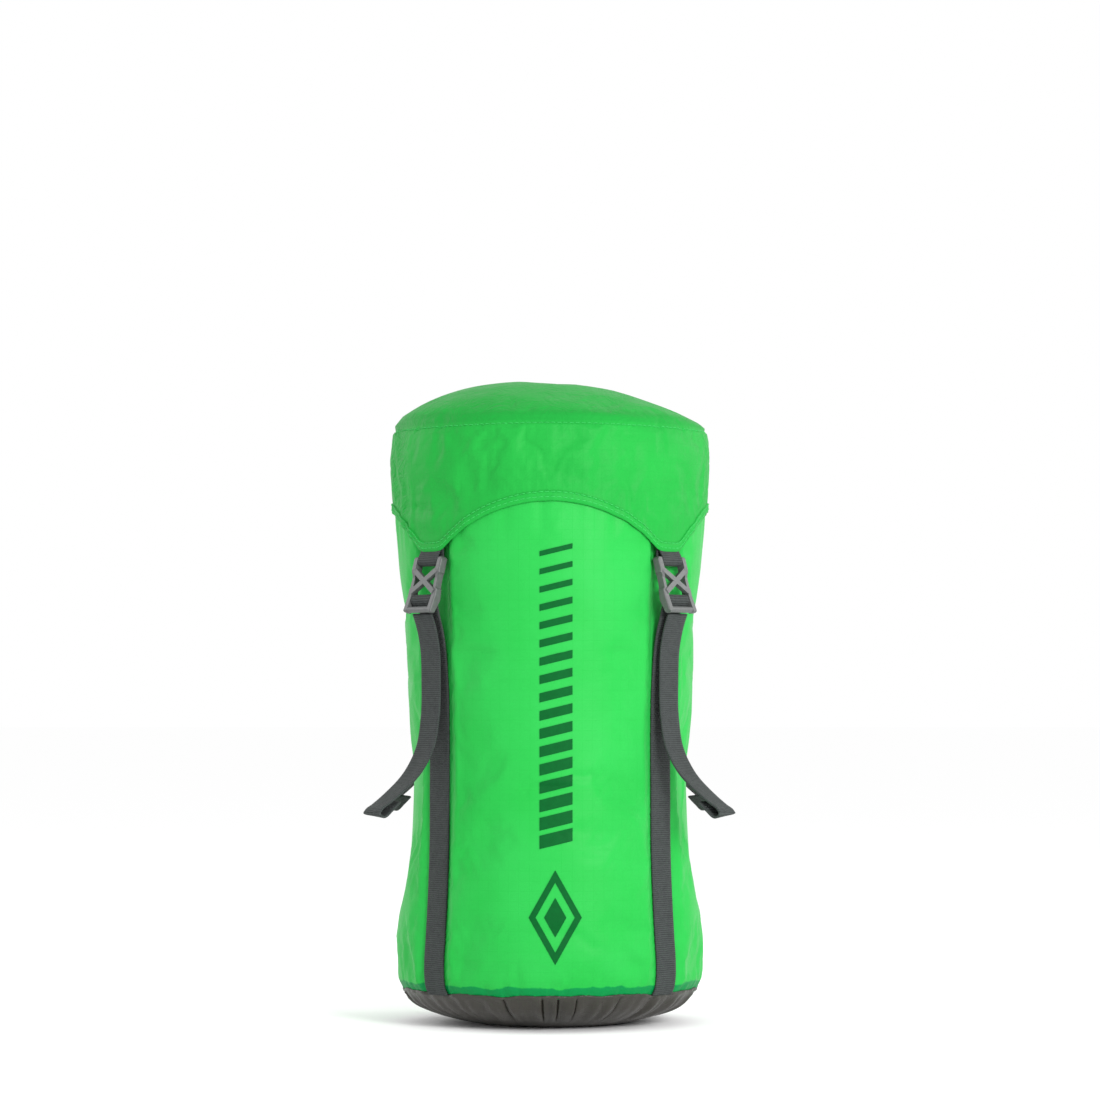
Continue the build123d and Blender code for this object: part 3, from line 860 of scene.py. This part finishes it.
def wrap_route():
    """The webbing up behind the middle bar, over it, and down behind the lift bar."""
    turn_r = 1.95
    half_turn = np.linspace(0, math.pi, 9)
    over = [(-turn_r * math.cos(t), MIDDLE_BAR_V + turn_r * math.sin(t)) for t in half_turn]
    path = [(-turn_r, MIDDLE_BAR_V - 1.9)] + over
    path += [(1.8, MIDDLE_BAR_V - 1.2), (0.4, LIFT_BAR_V + 2.6)]
    path += [(-0.3, LIFT_BAR_V + 1.0), (-0.35, LIFT_BAR_V - 0.9)]
    return [on_buckle(n, v) for n, v in path]


def tab_route():
    """The tab's webbing, from inside the skirt's point round the top bar and back."""
    turn_r = 2.15
    under = [
        (BUCKLE_BAR[0] - turn_r * math.cos(t), BUCKLE_BAR[1] - turn_r * math.sin(t))
        for t in np.linspace(0, math.pi, 9)
    ]
    back = [(82.2, 238.2), (80.5, 241.4), (79.45, 244.0), (79.4, 248.9)]
    return [(78.2, 248.9), (78.15, 240.4)] + under + back


TAIL_STITCHES_AT = 125 * MM  # from the buckle along the free end, where its folded tip is sewn down
TAIL_TWIST = {"front_left": -0.10, "front_right": 0.13, "rear_left": 0.16, "rear_right": -0.14}
TAIL_DRIFT = {"front_left": -1.5, "front_right": 0.8, "rear_left": 2.0, "rear_right": -1.2}


def make_webbing():
    pieces = {}
    line = route(STRAP_ROUTE)
    waist = next(i for i, (r, z) in enumerate(line) if z > STRAP_JOIN_Z)
    neck = next(i for i, (r, z) in enumerate(line) if z > STRAP_NECK_Z)
    length = np.concatenate([[0], np.cumsum(np.linalg.norm(np.diff(line, axis=0), axis=1))])
    for corner, angle in CORNERS.items():
        pieces["strap_lower_" + corner] = ribbon("webbing_lower_" + corner, line[: waist + 1], angle)
        pieces["strap_middle_" + corner] = ribbon(
            "webbing_middle_" + corner, line[waist : neck + 1], angle, start=length[waist]
        )
        pieces["strap_upper_" + corner] = ribbon(
            "webbing_upper_" + corner, line[neck:], angle, start=length[neck]
        )
        wrap, tab, tail = route(wrap_route(), 0.4), route(tab_route(), 0.4), route(TAIL_ROUTE, 0.8)
        pieces["wrap_" + corner] = ribbon("webbing_wrap_" + corner, wrap, angle, start=0.3)
        pieces["tab_" + corner] = ribbon("webbing_tab_" + corner, tab, angle)
        twist, drift = TAIL_TWIST[corner], TAIL_DRIFT[corner] * MM
        pieces["tail_" + corner] = ribbon("webbing_tail_" + corner, tail, angle, twist, drift)
        pieces["tail_stitches_" + corner] = cross_stitches(
            "tail_stitches_" + corner, tail, angle, TAIL_STITCHES_AT, twist, drift
        )
    return pieces


webbing = make_webbing()

# The throat under the cap

COLLAR_OUTSIDE, COLLAR_INSIDE = 76.7, 22.4  # radii in millimetres
COLLAR_SIDE = [(22, 303.6), (30, 302.6), (42, 301.4), (60, 299.0), (72.3, 294.4)]
COLLAR_SIDE += [(COLLAR_OUTSIDE, 286.5)]
COLLAR_COLS = 528
PLEATS = 22


def make_collar():
    """The collar, drawn into pleats towards the mouth."""
    cols, rings = COLLAR_COLS, 40
    angles = np.arange(cols) * TURN / cols
    radii = np.linspace(COLLAR_OUTSIDE, COLLAR_INSIDE, rings)
    grid_r, grid_a = np.meshgrid(radii, angles, indexing="ij")
    z = spline(COLLAR_SIDE, grid_r) * MM
    wander = 0.35 * np.sin(3 * grid_a + 0.7) + 0.2 * np.sin(7 * grid_a)
    wave = np.abs(np.sin(PLEATS * grid_a / 2 + wander + 0.004 * grid_r)) ** 0.7
    depth = 3.4 * MM * smooth((74 - grid_r) / 40) * (0.45 + 0.55 * smooth((grid_r - 22) / 14))
    z = z + depth * (wave - 0.55)
    # its edge meets the tube's
    edge = tube_radius(grid_a, THROAT_Z) + puckers(grid_a, THROAT_Z) - COLLAR_OUTSIDE * MM
    share = smooth((grid_r - 60) / (COLLAR_OUTSIDE - 60))
    points = place(grid_r * MM + edge * share, grid_a, z - 0.5 * MM * share).reshape(-1, 3)
    faces = grid_faces(rings, cols, True)
    across = np.linspace(0, TURN * TUBE_R, cols + 1)
    obj = new_mesh("collar_cloth", points, faces, grid_uv(across, np.linspace(0, 0.06, rings), True))
    return thicken(obj, FABRIC_T)


def make_channel():
    """The drawcord channel: a hem gathered into a ruffled ring round the mouth."""
    cols, around = COLLAR_COLS, 20
    angles = np.arange(cols) * TURN / cols
    turns = np.arange(around) * TURN / around
    grid_t, grid_a = np.meshgrid(turns, angles, indexing="ij")
    middle_z = (CHANNEL_Z + CHANNEL_TOP_Z) / 2
    at_eyelet = np.exp(-(((grid_a + math.pi) % (TURN) - math.pi) / 0.16) ** 2)
    ruffle = np.sin(PLEATS * 1.5 * grid_a + 0.4 * np.sin(5 * grid_a)) * (1 - at_eyelet)
    upward = smooth((np.sin(grid_t) + 0.2) / 1.2)
    r = MOUTH_R - 2.55 * MM + np.cos(grid_t) * 2.4 * MM + ruffle * (0.25 + 0.55 * upward) * MM
    z = middle_z + np.sin(grid_t) * 3.9 * MM + 0.35 * MM * np.sin(PLEATS * grid_a) * upward
    points = place(r, grid_a, z).reshape(-1, 3)
    faces, uv = [], []
    across = np.linspace(0, TURN * 30 * MM, cols + 1)
    for i in range(around):
        for j in range(cols):
            k, m = (j + 1) % cols, (i + 1) % around
            faces.append((i * cols + j, i * cols + k, m * cols + k, m * cols + j))
            low, high = i * MM, (i + 1) * MM
            uv += [(across[j], low), (across[j + 1], low), (across[j + 1], high), (across[j], high)]
    return new_mesh("channel_cloth", points, faces, uv)


collar = make_collar()
channel = make_channel()

# The print on the front, and seams on the tube


def on_tube_front(x, z, lift=0.3 * MM):
    """The point of the tube's front that is straight behind (x, z)."""
    hit, normal, _, _ = tube_surface.ray_cast(Vector((x, -0.2, z)), Vector((0, 1, 0)))
    if normal.y > 0:
        normal = -normal
    return hit + normal * lift


def print_patch(points, faces, corner, u_edge, v_edge, cell=0.9 * MM):
    """Adds a parallelogram of print, laid on the cloth."""
    corner, u_edge, v_edge = (np.array(v, float) * MM for v in (corner, u_edge, v_edge))
    nu = max(2, int(np.linalg.norm(u_edge) / cell) + 1)
    nv = max(2, int(np.linalg.norm(v_edge) / cell) + 1)
    first = len(points)
    for j in range(nv):
        for i in range(nu):
            p = corner + u_edge * i / (nu - 1) + v_edge * j / (nv - 1)
            points.append(on_tube_front(p[0], p[1]))
    for f in grid_faces(nv, nu, False):
        faces.append(tuple(first + k for k in f))


def make_print():
    """A plain column of slanted bars over a diamond."""
    points, faces = [], []
    left, width, foot, top = -5.2, 16.4, 92.0, 247.0
    count = 17
    pitch = (top - foot) / count
    for number in range(count):
        thickness = 6.6 - 4.0 * number / (count - 1)
        z = foot + number * pitch
        print_patch(points, faces, (left, z), (width, 4.0), (0, thickness))
    middle, half_w, half_h, band = (2.6, 58.0), 13.2, 23.5, 0.26
    corners = [(half_w, 0), (0, half_h), (-half_w, 0), (0, -half_h)]
    for k in range(4):
        a, b = np.array(corners[k]), np.array(corners[(k + 1) % 4])
        inner_a, inner_b = a * (1 - band), b * (1 - band)
        wide, steps = 3, 20
        first = len(points)
        for j in range(wide + 1):
            for i in range(steps + 1):
                s, t = i / steps, j / wide
                p = (a * (1 - s) + b * s) * (1 - t) + (inner_a * (1 - s) + inner_b * s) * t
                points.append(on_tube_front((middle[0] + p[0]) * MM, (middle[1] + p[1]) * MM))
        for f in grid_faces(wide + 1, steps + 1, False):
            faces.append(tuple(first + v for v in reversed(f)))
    core_w, core_h = half_w * 0.42, half_h * 0.42
    print_patch(
        points, faces, (middle[0], middle[1] - core_h), (core_w, core_h), (-core_w, core_h)
    )
    return new_mesh("front_print", points, faces)


front_print = make_print()


def make_rear_seam():
    """The tube's own seam, felled flat, up the middle of the rear, with two rows of stitches."""
    heights = np.linspace(BASE_SEAM_Z + 2.6 * MM, THROAT_Z - 2 * MM, 120)
    offsets = np.array([-4.2, -4.0, -1.4, 1.4, 4.0, 4.2]) * MM
    lifts = np.array([0.02, 0.42, 0.46, 0.46, 0.42, 0.02]) * MM
    points, rows = [], {}
    for z in heights:
        for x, lift in zip(offsets, lifts):
            hit, normal, _, _ = tube_surface.ray_cast(Vector((x, 0.2, z)), Vector((0, -1, 0)))
            if normal.y < 0:
                normal = -normal
            points.append(hit + normal * lift)
            rows.setdefault(x, []).append((hit + normal * 0.5 * MM, normal))
    faces = [tuple(reversed(f)) for f in grid_faces(len(heights), len(offsets), False)]
    us = offsets + 5 * MM
    uv = []
    for f in faces:
        uv += [(us[v % len(offsets)], heights[v // len(offsets)]) for v in f]
    seam = new_mesh("rear_seam", points, faces, uv)
    threads = []
    for name, x in (("left", 4.0 * MM), ("right", -4.0 * MM)):
        near = min(rows, key=lambda value: abs(value - x * 0.7))
        path = np.array([p for p, _ in rows[near]])
        out = np.array([d for _, d in rows[near]])
        path[:, 0] = x * 0.72
        threads.append(stitches("rear_stitches_" + name, path, out, closed=False))
    return seam, threads


rear_seam, rear_threads = make_rear_seam()


# Dressing: materials, bodies and the nodes each piece stands for

dress(tube, tube_cloth, node="body_tube")
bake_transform(tube)
on_tube = [front_print, rear_seam] + rear_threads
dress(front_print, ink)
dress(rear_seam, body_cloth, node="back_seam")
for row in rear_threads:
    dress(row, thread)
for piece in on_tube:
    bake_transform(piece)
dress(base, base_cloth, "sack", "base_panel")
dress(collar, body_cloth, "throat", "throat_collar")
dress(channel, body_cloth, "throat", "drawcord_channel")
cap_threads = hem_stitches() + [crown_stitches()]
dress(thicken(cap, FABRIC_T), cap_cloth, "cap", "cap_skirt")
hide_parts("cap_crown")
dress(hem, hem_cloth, "cap", "cap_edge_binding")
for row in cap_threads:
    dress(row, thread, "cap")
for corner in CORNERS:
    lower = webbing["strap_lower_" + corner]
    dress(lower, webbing_cloth, node="strap_" + corner)
    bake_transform(lower)
    middle = dress(webbing["strap_middle_" + corner], webbing_cloth)
    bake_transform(middle)
    upper = dress(webbing["strap_upper_" + corner], webbing_cloth)
    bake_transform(upper)
    for part, body, node in (
        ("wrap_", "buckle_" + corner, "strap_wrap_"),
        ("tab_", "cap", "tab_"),
        ("tail_", "tail_" + corner, "strap_tail_"),
    ):
        dress(webbing[part + corner], webbing_cloth, body, node + corner)
    for row in webbing["tail_stitches_" + corner]:
        dress(row, grey_thread, "tail_" + corner)
kept_nodes = {"buckle_" + corner: buckle_plastic for corner in CORNERS}
kept_nodes |= {"base_seam_binding": seam_cloth, "cap_seam_binding": seam_cloth}
kept_nodes["drawcord_eyelet"] = eyelet_metal
for node, material in kept_nodes.items():
    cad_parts[node].data.materials.clear()
    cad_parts[node].data.materials.append(material)

# Camera, light and floor


def make_stage():
    reach = 40.0
    corners = [(-reach, -reach, 0), (reach, -reach, 0), (reach, reach, 0), (-reach, reach, 0)]
    floor = new_mesh("floor", corners, [(0, 1, 2, 3)])
    n = Nodes("floor_paper", (0.99, 0.99, 0.99), 1.0)
    n.shader.inputs["Specular IOR Level"].default_value = 0.0
    floor.data.materials.append(n.material)

    world = bpy.data.worlds.new("studio")
    world.use_nodes = True
    world.node_tree.nodes["Background"].inputs[0].default_value = (1, 1, 1, 1)
    world.node_tree.nodes["Background"].inputs[1].default_value = 1.0
    bpy.context.scene.world = world

    for name, at, size, power in (
        ("key", (0.75, -1.4, 0.6), 0.5, 22),
        ("left", (-1.1, 0.5, 0.6), 0.6, 4),
        ("right", (1.1, 0.3, 0.6), 0.4, 3),
    ):
        light = bpy.data.lights.new(name, "AREA")
        light.size = size
        light.energy = power
        lamp = bpy.data.objects.new(name, light)
        lamp.location = at
        lamp.rotation_euler = (Vector((0, 0, 0.17)) - Vector(at)).to_track_quat("-Z", "Y").to_euler()
        bpy.context.scene.collection.objects.link(lamp)

    view = bpy.data.cameras.new("camera")
    view.angle = math.radians(16.28)
    camera = bpy.data.objects.new("camera", view)
    camera.location = (0, -2.0, 0.16)
    target = Vector((0, 0, 0.2445))
    camera.rotation_euler = (target - camera.location).to_track_quat("-Z", "Y").to_euler()
    bpy.context.scene.collection.objects.link(camera)
    bpy.context.scene.camera = camera
    bpy.context.scene.view_settings.view_transform = "Standard"


make_stage()
